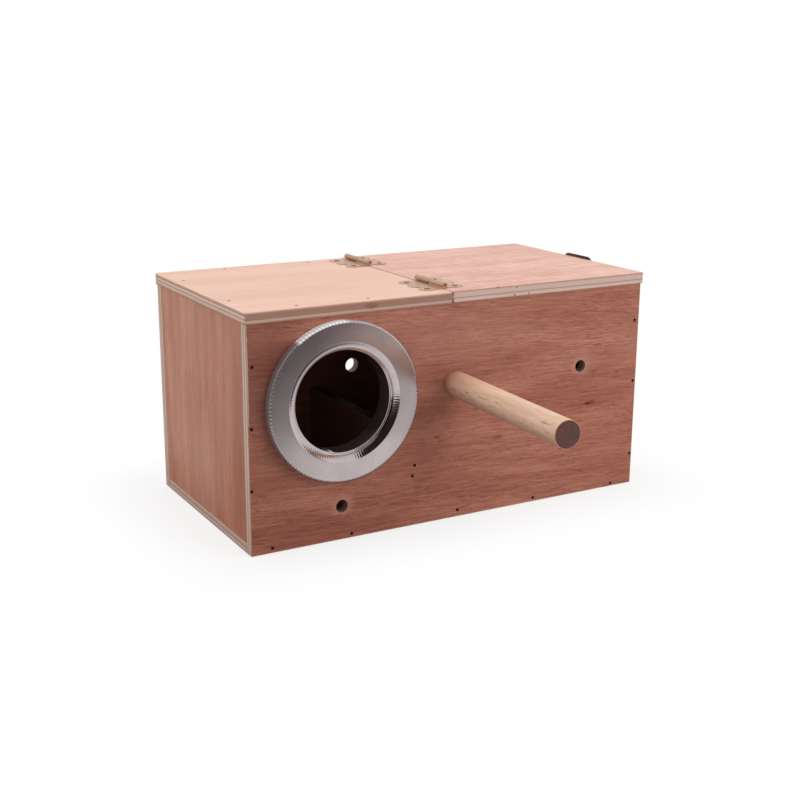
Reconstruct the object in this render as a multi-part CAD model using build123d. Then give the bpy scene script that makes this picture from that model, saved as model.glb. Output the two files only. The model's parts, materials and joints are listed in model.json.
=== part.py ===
from build123d import *
import os
from dataclasses import dataclass, replace

# A plywood parrot breeding box with a metal entrance ring, a perch, a fixed lid, a hinged lid and a latch.
# Sizes are in millimetres. The origin is the middle of the footprint, on the surface that the box stands on.
# X runs along the front from left to right, Y runs from the front to the back, Z is up.

# Plywood case
box_length = 230.0
box_depth = 120.0
wall_height = 113.0
panel_thickness = 5.7
side_top_gap = 0.6
lid_overhang_front = 0.8
lid_overhang_back = 0.9
lid_overhang_left = 0.8
lid_overhang_right = 1.3
lid_corner_radius = 1.2
lid_rest_gap = 0.3
lid_seam_gap = 0.3
lid_seam_from_left = 110.2
nest_board_from_left = 89.0
nest_board_height = 41.0

# Entrance ring and the collar that clamps it from inside
entrance_from_left = 48.6
entrance_below_wall_top = 42.0
entrance_diameter = 50.8
ring_diameter = 79.8
ring_proud = 4.8
ring_edge_chamfer = 0.6
ring_face_inner_diameter = 59.4
ring_cove_foot_diameter = 53.2
ring_cove_foot_proud = 2.3
ring_cove_sag = 0.45
ring_ledge_diameter = 52.0
ring_ledge_step = 0.5
sleeve_wall = 1.8
sleeve_past_wall = 2.4
ring_hole_clearance = 0.3
collar_diameter = 66.0
collar_thickness = 2.2
collar_clearance = 0.08
collar_edge_chamfer = 0.5

# Perch, which leans a little to the left and up, and its screw
perch_left_of_middle = 1.6
perch_below_wall_top = 41.6
perch_diameter = 13.2
perch_length = 105.5
perch_edge_chamfer = 0.35
perch_lean_left_deg = 4.8
perch_lean_up_deg = 1.4

# Round holes through the walls
cage_hole_diameter = 6.5
low_cage_hole_from_left = 48.5
low_cage_hole_height = 17.3
high_cage_hole_from_right = 38.4
high_cage_hole_below_wall_top = 41.4
rear_hole_diameter = 8.2
rear_hole_left_of_middle = 1.5
rear_hole_height_share = 0.5

# Hinges: flat scalloped leaves with a barrel in two halves
hinge_leaf_thickness = 0.4
hinge_barrel_diameter = 2.8
hinge_barrel_length = 28.0
hinge_barrel_split = 0.3
hinge_pin_diameter = 1.4
hinge_pin_clearance = 0.05
hinge_pin_recess = 0.25
hinge_air_gap = 0.15
hinge_pin_right_of_seam = 0.8
hinge_screw_line = 8.1
hinge_screw_pitch = 20.4
hinge_lobe_radius = 4.2
hinge_middle_lobe_line = 8.6
hinge_middle_lobe_radius = 4.3
hinge_web_reach = 9.6
hinge_web_length = 27.6
hinge_curl_width = 0.4
hinge_curl_set_in = 0.2
front_hinge_from_front = 22.0
rear_hinge_from_back = 18.5

# Latch on the right end
latch_from_front = 58.0
latch_width = 26.0
latch_sheet = 0.8
latch_corner_radius = 4.5
catch_plate_rise = 1.5
catch_lip_width = 12.0
catch_lip_reach = 3.6
catch_lip_thickness = 0.6
catch_nail_spacing = 21.0
catch_nail_below_lid_top = 1.8
base_plate_height = 20.0
base_plate_below_wall_top = 15.0
base_corner_radius = 3.0
base_nail_spacing = 21.6
base_nail_inset = 2.2
latch_pin_below_wall_top = 22.0
latch_pin_stand_off = 3.5
latch_pin_diameter = 1.6
latch_pin_clearance = 0.08
ear_radius = 1.9
ear_thickness = 0.7
lever_width = 13.0
lever_side_gap = 0.5
lever_face_stand_off = 1.2
lever_above_pin = 1.4
lever_below_pin = 15.0
lever_cheek_below_pin = 6.2
lever_cheek_inset = 2.0
lever_cheek_corner_radius = 1.5
lever_tip_length = 3.0
lever_tip_flare = 1.4
loop_pivot_below_pin = 4.5
loop_pivot_inset = 0.8
loop_wire_diameter = 1.6
loop_inner_width = 16.6
loop_above_lip = 0.6
loop_corner_radius = 2.4
loop_end_length = 3.4

# Brads, which have small sunk heads
brad_shank_diameter = 1.1
brad_head_diameter = 1.7
brad_head_height = 0.6
brad_head_sunk = 0.35
brad_point_length = 1.6
wall_brad_length = 15.0
lid_brad_length = 14.0
board_brad_length = 14.0

# Screws of the hinges
hinge_screw_shank_diameter = 1.3
hinge_screw_head_diameter = 3.4
hinge_screw_head_height = 0.6
hinge_screw_head_sunk = 0.05
hinge_screw_length = 4.4
hinge_screw_point_length = 1.2
hinge_screw_slot_width = 0.45
hinge_screw_slot_depth = 0.25

# Nails of the latch, which have flat heads on the plates
latch_nail_shank_diameter = 1.0
latch_nail_head_diameter = 1.8
latch_nail_head_height = 0.5
latch_nail_length = 5.2
latch_nail_point_length = 1.0

# Screw of the perch
perch_screw_shank_diameter = 3.5
perch_screw_head_diameter = 7.0
perch_screw_head_height = 2.2
perch_screw_head_sunk = 0.6
perch_screw_length = 26.0
perch_screw_point_length = 4.0
perch_screw_slot_width = 1.0
perch_screw_slot_depth = 0.8

# Clearances and overruns that many pieces share
pilot_clearance = 0.05
cut_overrun = 1.0

# Nail places, as shares of the panel that each row of nails follows
end_nail_inset_shares = (0.19, 0.29, 0.48)
left_nail_height_shares = (0.289, 0.559, 0.821)
right_nail_height_shares = (0.150, 0.523, 0.824)
bottom_nail_length_shares = (0.048, 0.234, 0.503, 0.711, 0.940)
bottom_nail_height_shares = (0.39, 0.33, 0.60, 0.34, 0.25)
nest_board_nail_shares = ((-0.11, 0.502), (0.11, 0.637))
lid_front_nail_shares = (0.251, 0.594)
lid_left_nail_shares = (0.25, 0.765)
lid_back_nail_shares = (0.332, 0.786)
lid_nail_inset_share = 0.78

# Places worked out from the sizes above
left_end = -box_length / 2
right_end = box_length / 2
front_face = -box_depth / 2
back_face = box_depth / 2
inner_depth = box_depth - 2 * panel_thickness
fixed_lid_top = wall_height + panel_thickness
hinged_lid_under = wall_height + lid_rest_gap
hinged_lid_top = hinged_lid_under + panel_thickness
seam_x = left_end + lid_seam_from_left
hinge_pin_x = seam_x + hinge_pin_right_of_seam
entrance_x = left_end + entrance_from_left
entrance_z = wall_height - entrance_below_wall_top
perch_x = -perch_left_of_middle
perch_z = wall_height - perch_below_wall_top
low_cage_hole_x = left_end + low_cage_hole_from_left
high_cage_hole_x = right_end - high_cage_hole_from_right
high_cage_hole_z = wall_height - high_cage_hole_below_wall_top
rear_hole_x = -rear_hole_left_of_middle
rear_hole_z = rear_hole_height_share * wall_height
nest_board_x = left_end + nest_board_from_left
hinge_barrel_radius = hinge_barrel_diameter / 2
hinge_axis_z = hinged_lid_top + hinge_air_gap + hinge_barrel_radius
hinge_leaf_start = hinge_barrel_radius + hinge_air_gap
hinge_places_y = (front_face + front_hinge_from_front, back_face - rear_hinge_from_back)
latch_y = front_face + latch_from_front
latch_pin_x = right_end + latch_pin_stand_off
latch_pin_z = wall_height - latch_pin_below_wall_top
loop_pivot_x = latch_pin_x - loop_pivot_inset
loop_pivot_z = latch_pin_z - loop_pivot_below_pin
lid_end_x = right_end + lid_overhang_right
catch_lip_top = hinged_lid_under + catch_lip_thickness
loop_length = catch_lip_top + loop_above_lip + loop_wire_diameter / 2 - loop_pivot_z

# Directions in which a fastener's head looks
looks_front = Rot(90, 0, 0)
looks_back = Rot(-90, 0, 0)
looks_right = Rot(0, 90, 0)
looks_up = Rot(0, 0, 0)


@dataclass(frozen=True)
class Fastener:
    """A nail or screw, drawn with the surface at height zero and its shank pointing down."""

    shank_diameter: float
    head_diameter: float
    head_height: float
    head_top: float
    length: float
    point_length: float
    countersunk: bool = False
    slot_width: float = 0.0
    slot_depth: float = 0.0

    def solid(self):
        """The fastener itself."""
        head = self._head(0)
        body = head + self._shank(0)
        if self.slot_width:
            slot = Box(self.head_diameter + 2 * cut_overrun, self.slot_width, 2 * self.slot_depth)
            body = body - Pos(0, 0, self.head_top) * slot
        return body

    def bore(self):
        """The hole that it sits in, open to the surface."""
        mouth_height = abs(self.head_top) + cut_overrun
        mouth_radius = self.head_diameter / 2 + pilot_clearance
        mouth = Pos(0, 0, self.head_top + mouth_height / 2) * Cylinder(mouth_radius, mouth_height)
        return self._head(pilot_clearance) + self._shank(pilot_clearance) + mouth

    def _head(self, grow):
        low = self.head_top - self.head_height
        top_radius = self.head_diameter / 2 + grow
        middle = Pos(0, 0, low + self.head_height / 2)
        if self.countersunk:
            return middle * Cone(self.shank_diameter / 2 + grow, top_radius, self.head_height)
        return middle * Cylinder(top_radius, self.head_height)

    def _shank(self, grow):
        start = self.head_top - self.head_height
        straight = self.length - self.point_length
        radius = self.shank_diameter / 2 + grow
        shaft = Pos(0, 0, start - straight / 2) * Cylinder(radius, straight)
        point_height = self.point_length + grow
        point = Pos(0, 0, start - straight - point_height / 2) * Cone(radius / 4, radius, point_height)
        return shaft + point


wall_brad = Fastener(
    shank_diameter=brad_shank_diameter,
    head_diameter=brad_head_diameter,
    head_height=brad_head_height,
    head_top=-brad_head_sunk,
    length=wall_brad_length,
    point_length=brad_point_length,
)
lid_brad = replace(wall_brad, length=lid_brad_length)
board_brad = replace(wall_brad, length=board_brad_length)
hinge_screw = Fastener(
    shank_diameter=hinge_screw_shank_diameter,
    head_diameter=hinge_screw_head_diameter,
    head_height=hinge_screw_head_height,
    head_top=-hinge_screw_head_sunk,
    length=hinge_screw_length,
    point_length=hinge_screw_point_length,
    countersunk=True,
    slot_width=hinge_screw_slot_width,
    slot_depth=hinge_screw_slot_depth,
)
latch_nail = Fastener(
    shank_diameter=latch_nail_shank_diameter,
    head_diameter=latch_nail_head_diameter,
    head_height=latch_nail_head_height,
    head_top=latch_nail_head_height,
    length=latch_nail_length,
    point_length=latch_nail_point_length,
)
perch_screw_kind = Fastener(
    shank_diameter=perch_screw_shank_diameter,
    head_diameter=perch_screw_head_diameter,
    head_height=perch_screw_head_height,
    head_top=-perch_screw_head_sunk,
    length=perch_screw_length,
    point_length=perch_screw_point_length,
    countersunk=True,
    slot_width=perch_screw_slot_width,
    slot_depth=perch_screw_slot_depth,
)


def block(low, high):
    """A box between two opposite corners."""
    size = [b - a for a, b in zip(low, high)]
    middle = [(a + b) / 2 for a, b in zip(low, high)]
    return Pos(*middle) * Box(*size)


def rod_along_y(x, z, start_y, end_y, radius):
    """A round rod that runs from front to back."""
    return Pos(x, (start_y + end_y) / 2, z) * looks_front * Cylinder(radius, end_y - start_y)


def wall_hole(x, z, diameter, face_y):
    """A round hole through the front or back wall."""
    depth = panel_thickness + cut_overrun
    return rod_along_y(x, z, face_y - depth, face_y + depth, diameter / 2)


def drilled(panel, fasteners):
    """The panel with the bores of every fastener that reaches it."""
    for place, kind in fasteners:
        panel = panel - place * kind.bore()
    return panel


def fastener_group(fasteners):
    """All the fasteners of one list, as separate solids."""
    return Compound(children=[place * kind.solid() for place, kind in fasteners])


def upright_edges_rounded(panel, radius):
    """The panel with its upright corner edges rounded."""
    return fillet(panel.edges().filter_by(Axis.Z), radius)


# Fastener lists


def end_column_nails(face_y, looks):
    """Nails at both ends of the front or back panel, into the side panels."""
    places = []
    for inset, left, right in zip(end_nail_inset_shares, left_nail_height_shares, right_nail_height_shares):
        inset_x = inset * panel_thickness
        places.append(Pos(left_end + inset_x, face_y, left * wall_height) * looks)
        places.append(Pos(right_end - inset_x, face_y, right * wall_height) * looks)
    return [(place, wall_brad) for place in places]


def bottom_row_nails(face_y, looks):
    """Nails along the bottom of the front or back panel, into the floor."""
    rows = zip(bottom_nail_length_shares, bottom_nail_height_shares)
    return [
        (Pos(left_end + along * box_length, face_y, up * panel_thickness) * looks, wall_brad)
        for along, up in rows
    ]


def nest_board_nails():
    """The two short nails in the front panel that hold the nest board."""
    return [
        (
            Pos(nest_board_x + aside * panel_thickness, front_face, panel_thickness + up * nest_board_height)
            * looks_front,
            board_brad,
        )
        for aside, up in nest_board_nail_shares
    ]


def front_nails():
    """Every nail whose head shows on the front."""
    return (
        end_column_nails(front_face, looks_front)
        + bottom_row_nails(front_face, looks_front)
        + nest_board_nails()
    )


def back_nails():
    """Every nail whose head shows on the back."""
    return end_column_nails(back_face, looks_back) + bottom_row_nails(back_face, looks_back)


def lid_nails():
    """Nails of the fixed lid, into the front, left and back walls."""
    inset = lid_nail_inset_share * panel_thickness
    places = [
        Pos(left_end + share * lid_seam_from_left, front_face + inset, fixed_lid_top)
        for share in lid_front_nail_shares
    ]
    places += [
        Pos(left_end + inset, front_face + share * box_depth, fixed_lid_top)
        for share in lid_left_nail_shares
    ]
    places += [
        Pos(left_end + share * lid_seam_from_left, back_face - inset, fixed_lid_top)
        for share in lid_back_nail_shares
    ]
    return [(place, lid_brad) for place in places]


def hinge_screws(side):
    """Screws of both hinges on one side of the seam; side is -1 for the fixed lid, 1 for the hinged one."""
    lid_top = hinged_lid_top if side > 0 else fixed_lid_top
    return [
        (Pos(hinge_pin_x + side * hinge_screw_line, y + end * hinge_screw_pitch / 2, lid_top + hinge_leaf_thickness)
         * looks_up, hinge_screw)
        for y in hinge_places_y
        for end in (-1, 1)
    ]


def catch_nails():
    """Nails of the catch plate, into the end of the hinged lid."""
    return [
        (Pos(lid_end_x + latch_sheet, latch_y + end * catch_nail_spacing / 2,
             hinged_lid_top - catch_nail_below_lid_top) * looks_right, latch_nail)
        for end in (-1, 1)
    ]


def base_nails():
    """Nails of the latch base plate, into the right side panel."""
    top = wall_height - base_plate_below_wall_top
    heights = (top - base_nail_inset, top - base_plate_height + base_nail_inset)
    return [
        (Pos(right_end + latch_sheet, latch_y + end * base_nail_spacing / 2, height) * looks_right, latch_nail)
        for height in heights
        for end in (-1, 1)
    ]


def perch_place():
    """The frame of the perch: its root on the front face, its own Z along the dowel."""
    root = Pos(perch_x, front_face, perch_z)
    return root * Rot(-perch_lean_up_deg, 0, -perch_lean_left_deg) * looks_front


def perch_screws():
    """The one screw that holds the perch, driven from inside the front wall."""
    inner_face = Pos(0, 0, -panel_thickness)
    return [(perch_place() * inner_face * Rot(180, 0, 0), perch_screw_kind)]


# Plywood panels


def front_panel():
    """The front wall with the ring's hole, the two cage holes and its nail holes."""
    panel = block((left_end, front_face, 0), (right_end, front_face + panel_thickness, wall_height))
    ring_hole_diameter = entrance_diameter + 2 * (sleeve_wall + ring_hole_clearance)
    panel -= wall_hole(entrance_x, entrance_z, ring_hole_diameter, front_face)
    panel -= wall_hole(low_cage_hole_x, low_cage_hole_height, cage_hole_diameter, front_face)
    panel -= wall_hole(high_cage_hole_x, high_cage_hole_z, cage_hole_diameter, front_face)
    return drilled(panel, front_nails() + lid_nails() + perch_screws())


def back_panel():
    """The back wall with its one round hole."""
    panel = block((left_end, back_face - panel_thickness, 0), (right_end, back_face, wall_height))
    panel -= wall_hole(rear_hole_x, rear_hole_z, rear_hole_diameter, back_face)
    return drilled(panel, back_nails() + lid_nails())


def side_panel(outer_x, inward):
    """A side wall that stands on the floor, between the front and back walls."""
    inner_x = outer_x + inward * panel_thickness
    low = (min(outer_x, inner_x), -inner_depth / 2, panel_thickness)
    high = (max(outer_x, inner_x), inner_depth / 2, wall_height - side_top_gap)
    return block(low, high)


def left_side_panel():
    """The left wall."""
    return drilled(side_panel(left_end, 1), front_nails() + back_nails() + lid_nails())


def right_side_panel():
    """The right wall, which carries the latch base."""
    return drilled(side_panel(right_end, -1), front_nails() + back_nails() + base_nails())


def floor_panel():
    """The floor, which runs full length between the front and back walls."""
    panel = block((left_end, -inner_depth / 2, 0), (right_end, inner_depth / 2, panel_thickness))
    return drilled(panel, front_nails() + back_nails())


def nest_board():
    """The low board across the inside that keeps the nest away from the entrance."""
    low = (nest_board_x - panel_thickness / 2, -inner_depth / 2, panel_thickness)
    high = (nest_board_x + panel_thickness / 2, inner_depth / 2, panel_thickness + nest_board_height)
    return drilled(block(low, high), nest_board_nails())


def fixed_lid():
    """The left top board, nailed to the walls."""
    low = (left_end - lid_overhang_left, front_face - lid_overhang_front, wall_height)
    high = (seam_x, back_face + lid_overhang_back, fixed_lid_top)
    board = upright_edges_rounded(block(low, high), lid_corner_radius)
    return drilled(board, lid_nails() + hinge_screws(-1))


def hinged_lid():
    """The right top board, which lifts."""
    low = (seam_x + lid_seam_gap, front_face - lid_overhang_front, hinged_lid_under)
    high = (lid_end_x, back_face + lid_overhang_back, hinged_lid_top)
    board = upright_edges_rounded(block(low, high), lid_corner_radius)
    return drilled(board, hinge_screws(1) + catch_nails())


# Entrance ring


def turned(profile_lines):
    """A turned piece from its profile of radius and height, standing on the front face."""
    profile = make_face(Plane.XZ * profile_lines)
    ring = revolve(profile, Axis.Z)
    return Pos(entrance_x, front_face, entrance_z) * looks_front * ring


def entrance_ring():
    """The flange that shows on the front, with its coved mouth and the sleeve through the wall."""
    bore_radius = entrance_diameter / 2
    ledge_radius = ring_ledge_diameter / 2
    foot_radius = ring_cove_foot_diameter / 2
    mouth_radius = ring_face_inner_diameter / 2
    outer_radius = ring_diameter / 2
    sleeve_radius = bore_radius + sleeve_wall
    sleeve_end = -panel_thickness - sleeve_past_wall
    ledge_proud = ring_cove_foot_proud - ring_ledge_step
    inside = Polyline(
        (bore_radius, sleeve_end),
        (bore_radius, ledge_proud),
        (ledge_radius, ledge_proud),
        (ledge_radius, ring_cove_foot_proud),
        (foot_radius, ring_cove_foot_proud),
    )
    cove = SagittaArc((foot_radius, ring_cove_foot_proud), (mouth_radius, ring_proud), -ring_cove_sag)
    outside = Polyline(
        (mouth_radius, ring_proud),
        (outer_radius - ring_edge_chamfer, ring_proud),
        (outer_radius, ring_proud - ring_edge_chamfer),
        (outer_radius, 0),
        (sleeve_radius, 0),
        (sleeve_radius, sleeve_end),
        (bore_radius, sleeve_end),
    )
    return turned(inside + cove + outside)


def ring_collar():
    """The flat collar on the sleeve, against the inside of the wall."""
    inner_radius = entrance_diameter / 2 + sleeve_wall + collar_clearance
    outer_radius = collar_diameter / 2
    back = -panel_thickness - collar_thickness
    outline = Polyline(
        (inner_radius, -panel_thickness),
        (outer_radius, -panel_thickness),
        (outer_radius, back + collar_edge_chamfer),
        (outer_radius - collar_edge_chamfer, back),
        (inner_radius, back),
        (inner_radius, -panel_thickness),
    )
    return turned(outline)


# Perch


def perch():
    """The dowel, cut off flat against the front wall."""
    radius = perch_diameter / 2
    buried = perch_diameter
    dowel = Pos(0, 0, (perch_length - buried) / 2) * Cylinder(radius, perch_length + buried)
    far_edge = dowel.edges().filter_by(GeomType.CIRCLE).sort_by(Axis.Z)[-1]
    dowel = perch_place() * chamfer(far_edge, perch_edge_chamfer)
    behind = block(
        (left_end, front_face, 0),
        (right_end, front_face + 2 * buried, wall_height),
    )
    return drilled(dowel - behind, perch_screws())


# Hinges


def leaf_outline(side):
    """The scalloped plate of one leaf, seen from above, with its barrel side at the seam."""
    web_middle = side * (hinge_leaf_start + hinge_web_reach) / 2
    outline = Pos(web_middle, 0) * Rectangle(hinge_web_reach - hinge_leaf_start, hinge_web_length)
    for end in (-1, 1):
        outline += Pos(side * hinge_screw_line, end * hinge_screw_pitch / 2) * Circle(hinge_lobe_radius)
    outline += Pos(side * hinge_middle_lobe_line, 0) * Circle(hinge_middle_lobe_radius)
    return outline


def hinge_leaf(place_y, side):
    """One leaf with its half of the barrel; side is -1 for the fixed lid, 1 for the hinged one."""
    lid_top = hinged_lid_top if side > 0 else fixed_lid_top
    plate = Pos(hinge_pin_x, place_y, lid_top) * extrude(leaf_outline(side), hinge_leaf_thickness)
    near_seam = block(
        (hinge_pin_x - hinge_leaf_start, place_y - hinge_barrel_length, lid_top - cut_overrun),
        (hinge_pin_x + hinge_leaf_start, place_y + hinge_barrel_length, hinge_axis_z),
    )
    plate -= near_seam
    start_y = place_y + side * hinge_barrel_split / 2
    end_y = place_y + side * hinge_barrel_length / 2
    low_y, high_y = min(start_y, end_y), max(start_y, end_y)
    curl_outer = side * (hinge_barrel_radius - hinge_curl_set_in)
    curl_inner = curl_outer - side * hinge_curl_width
    foot_outer = side * (hinge_leaf_start + hinge_curl_width)
    upright = block(
        (hinge_pin_x + min(curl_inner, curl_outer), low_y, lid_top),
        (hinge_pin_x + max(curl_inner, curl_outer), high_y, hinge_axis_z),
    )
    foot = block(
        (hinge_pin_x + min(curl_inner, foot_outer), low_y, lid_top),
        (hinge_pin_x + max(curl_inner, foot_outer), high_y, lid_top + hinge_leaf_thickness),
    )
    barrel = rod_along_y(hinge_pin_x, hinge_axis_z, low_y, high_y, hinge_barrel_radius)
    bore_radius = hinge_pin_diameter / 2 + hinge_pin_clearance
    bore = rod_along_y(hinge_pin_x, hinge_axis_z, low_y - cut_overrun, high_y + cut_overrun, bore_radius)
    return drilled(plate + upright + foot + barrel - bore, hinge_screws(side))


def hinge_pin(place_y):
    """The pin of one hinge, a little shorter than the barrel."""
    half = hinge_barrel_length / 2 - hinge_pin_recess
    return rod_along_y(hinge_pin_x, hinge_axis_z, place_y - half, place_y + half, hinge_pin_diameter / 2)


# Latch


def latch_catch_plate():
    """The plate on the end of the lid, with the flat lip that the loop rests over."""
    low_z = hinged_lid_under
    plate = block(
        (lid_end_x, latch_y - latch_width / 2, low_z),
        (lid_end_x + latch_sheet, latch_y + latch_width / 2, hinged_lid_top + catch_plate_rise),
    )
    plate = fillet(plate.edges().filter_by(Axis.X).group_by(Axis.Z)[-1], latch_corner_radius)
    lip = block(
        (lid_end_x, latch_y - catch_lip_width / 2, low_z),
        (lid_end_x + latch_sheet + catch_lip_reach, latch_y + catch_lip_width / 2, catch_lip_top),
    )
    return drilled(plate + lip, catch_nails())


def latch_ear(side):
    """One ear of the base plate, which holds an end of the lever's pin."""
    inner = lever_width / 2 + lever_side_gap
    low_y = latch_y + min(side * inner, side * (inner + ear_thickness))
    high_y = low_y + ear_thickness
    web = block((right_end, low_y, latch_pin_z - ear_radius), (latch_pin_x, high_y, latch_pin_z + ear_radius))
    return web + rod_along_y(latch_pin_x, latch_pin_z, low_y, high_y, ear_radius)


def latch_base_plate():
    """The plate on the right end that carries the lever between two ears."""
    top = wall_height - base_plate_below_wall_top
    plate = block(
        (right_end, latch_y - latch_width / 2, top - base_plate_height),
        (right_end + latch_sheet, latch_y + latch_width / 2, top),
    )
    plate = fillet(plate.edges().filter_by(Axis.X), base_corner_radius)
    for side in (-1, 1):
        plate += latch_ear(side)
    plate -= latch_pin_rod(latch_pin_diameter / 2 + latch_pin_clearance)
    return drilled(plate, base_nails())


def latch_pin_rod(radius):
    """A rod along the lever's pin, through both ears."""
    half = lever_width / 2 + lever_side_gap + ear_thickness
    return rod_along_y(latch_pin_x, latch_pin_z, latch_y - half, latch_y + half, radius)


def latch_pin():
    """The pin that the lever turns on."""
    return latch_pin_rod(latch_pin_diameter / 2)


def loop_end_rod(side, radius):
    """The inward end of the loop's wire, which turns in a cheek of the lever."""
    outer = loop_inner_width / 2 + loop_wire_diameter / 2
    low_y = latch_y + min(side * outer, side * (outer - loop_end_length))
    return rod_along_y(loop_pivot_x, loop_pivot_z, low_y, low_y + loop_end_length, radius)


def latch_lever():
    """The folded lever: a face, two cheeks and a flared tip for the finger."""
    face_x = latch_pin_x + lever_face_stand_off
    top = latch_pin_z + lever_above_pin
    tip_top = latch_pin_z - lever_below_pin
    tip_low = tip_top - lever_tip_length
    half = lever_width / 2
    profile = Polyline(
        (face_x, top),
        (face_x + latch_sheet, top),
        (face_x + latch_sheet, tip_top),
        (face_x + latch_sheet + lever_tip_flare, tip_low),
        (face_x + lever_tip_flare, tip_low),
        (face_x, tip_top),
        (face_x, top),
    )
    face = extrude(make_face(Plane.XZ * profile), half, both=True)
    lever = Pos(0, latch_y, 0) * face
    cheek_low = latch_pin_z - lever_cheek_below_pin
    cheek_back = latch_pin_x - lever_cheek_inset
    for side in (-1, 1):
        low_y = latch_y + min(side * half, side * (half - latch_sheet))
        cheek = block((cheek_back, low_y, cheek_low), (face_x, low_y + latch_sheet, top))
        corners = cheek.edges().filter_by(Axis.Y).group_by(Axis.X)[0]
        lever += fillet(corners, lever_cheek_corner_radius)
        lever -= loop_end_rod(side, loop_wire_diameter / 2 + latch_pin_clearance)
    return lever - latch_pin_rod(latch_pin_diameter / 2 + latch_pin_clearance)


def latch_loop():
    """The wire loop, hanging down from the lever at rest."""
    half = loop_inner_width / 2 + loop_wire_diameter / 2
    end = half - loop_end_length
    foot_z = loop_pivot_z - loop_length
    path = FilletPolyline(
        (loop_pivot_x, latch_y - end, loop_pivot_z),
        (loop_pivot_x, latch_y - half, loop_pivot_z),
        (loop_pivot_x, latch_y - half, foot_z),
        (loop_pivot_x, latch_y + half, foot_z),
        (loop_pivot_x, latch_y + half, loop_pivot_z),
        (loop_pivot_x, latch_y + end, loop_pivot_z),
        radius=(loop_wire_diameter, loop_corner_radius, loop_corner_radius, loop_wire_diameter),
    )
    section = Plane(origin=path @ 0, z_dir=path % 0) * Circle(loop_wire_diameter / 2)
    return sweep(section, path)


# Every piece under the name of its node


def all_pieces():
    """Every sub-part of the box by name."""
    pieces = {
        "front_panel": front_panel(),
        "back_panel": back_panel(),
        "left_side_panel": left_side_panel(),
        "right_side_panel": right_side_panel(),
        "floor_panel": floor_panel(),
        "nest_board": nest_board(),
        "fixed_lid": fixed_lid(),
        "hinged_lid": hinged_lid(),
        "entrance_ring": entrance_ring(),
        "ring_collar": ring_collar(),
        "perch": perch(),
        "perch_screw": fastener_group(perch_screws()),
        "front_nails": fastener_group(front_nails()),
        "back_nails": fastener_group(back_nails()),
        "lid_nails": fastener_group(lid_nails()),
        "fixed_hinge_screws": fastener_group(hinge_screws(-1)),
        "lid_hinge_screws": fastener_group(hinge_screws(1)),
        "latch_catch_plate": latch_catch_plate(),
        "latch_catch_nails": fastener_group(catch_nails()),
        "latch_base_plate": latch_base_plate(),
        "latch_base_nails": fastener_group(base_nails()),
        "latch_pin": latch_pin(),
        "latch_lever": latch_lever(),
        "latch_loop": latch_loop(),
    }
    for name, place_y in zip(("front_hinge", "rear_hinge"), hinge_places_y):
        pieces[name + "_fixed_leaf"] = hinge_leaf(place_y, -1)
        pieces[name + "_lid_leaf"] = hinge_leaf(place_y, 1)
        pieces[name + "_pin"] = hinge_pin(place_y)
    return pieces


os.makedirs("parts", exist_ok=True)
for piece_name, piece in all_pieces().items():
    export_step(piece, os.path.join("parts", piece_name + ".step"))
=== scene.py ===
"""A plywood parrot breeding box: a turned metal entrance, a dowel perch and a lid on two small hinges."""

import json
import logging
import math
from collections.abc import Sequence
from dataclasses import dataclass
from enum import Enum
from typing import Union

import bpy
from mathutils import Matrix, Vector

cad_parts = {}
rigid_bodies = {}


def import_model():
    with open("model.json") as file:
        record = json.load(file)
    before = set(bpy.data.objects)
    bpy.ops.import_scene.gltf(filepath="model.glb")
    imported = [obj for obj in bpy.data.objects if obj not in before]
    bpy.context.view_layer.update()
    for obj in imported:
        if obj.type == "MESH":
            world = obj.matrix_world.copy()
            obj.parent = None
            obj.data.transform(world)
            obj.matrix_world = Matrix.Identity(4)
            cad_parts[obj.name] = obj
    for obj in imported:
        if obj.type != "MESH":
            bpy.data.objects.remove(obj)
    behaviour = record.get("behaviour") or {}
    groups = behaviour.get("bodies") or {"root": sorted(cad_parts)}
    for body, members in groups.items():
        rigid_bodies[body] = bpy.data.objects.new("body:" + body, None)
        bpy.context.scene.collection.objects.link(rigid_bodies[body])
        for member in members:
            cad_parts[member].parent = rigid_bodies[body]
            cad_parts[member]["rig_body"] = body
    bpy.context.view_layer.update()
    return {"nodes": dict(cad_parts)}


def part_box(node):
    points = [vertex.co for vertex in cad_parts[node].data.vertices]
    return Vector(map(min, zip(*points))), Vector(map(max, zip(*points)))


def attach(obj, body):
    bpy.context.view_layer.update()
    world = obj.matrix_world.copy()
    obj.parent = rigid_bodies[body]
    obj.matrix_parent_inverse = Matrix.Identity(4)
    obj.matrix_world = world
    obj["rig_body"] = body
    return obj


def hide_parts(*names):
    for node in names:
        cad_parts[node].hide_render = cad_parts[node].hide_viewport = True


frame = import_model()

MM = 0.001
NEAR = 1e-6
WELD = 2e-6
FLAT_DEG = 0.6
SHARP_DEG = 32.0

# The case's outline on the floor, in millimetres from its middle
CASE_FRONT = -60.0
CASE_HALF_LENGTH = 115.0

log = logging.getLogger("nest_box")


class Axis(Enum):
    """A direction of the box: along its length, through it from front to back, or up."""

    LENGTH = 0
    DEPTH = 1
    HEIGHT = 2


class Body(Enum):
    """The four things that move against each other."""

    BOX = "box"
    LID = "lid"
    LEVER = "lever"
    LOOP = "loop"


class Slot(Enum):
    """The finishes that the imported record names."""

    PLYWOOD = "plywood"
    LID_PLYWOOD = "lid_plywood"
    BEECH = "beech"
    RING = "ring_metal"
    HINGE = "hinge_metal"
    LATCH = "latch_metal"
    WIRE = "wire_metal"
    NAIL = "nail_steel"
    SCREW = "screw_steel"


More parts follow.
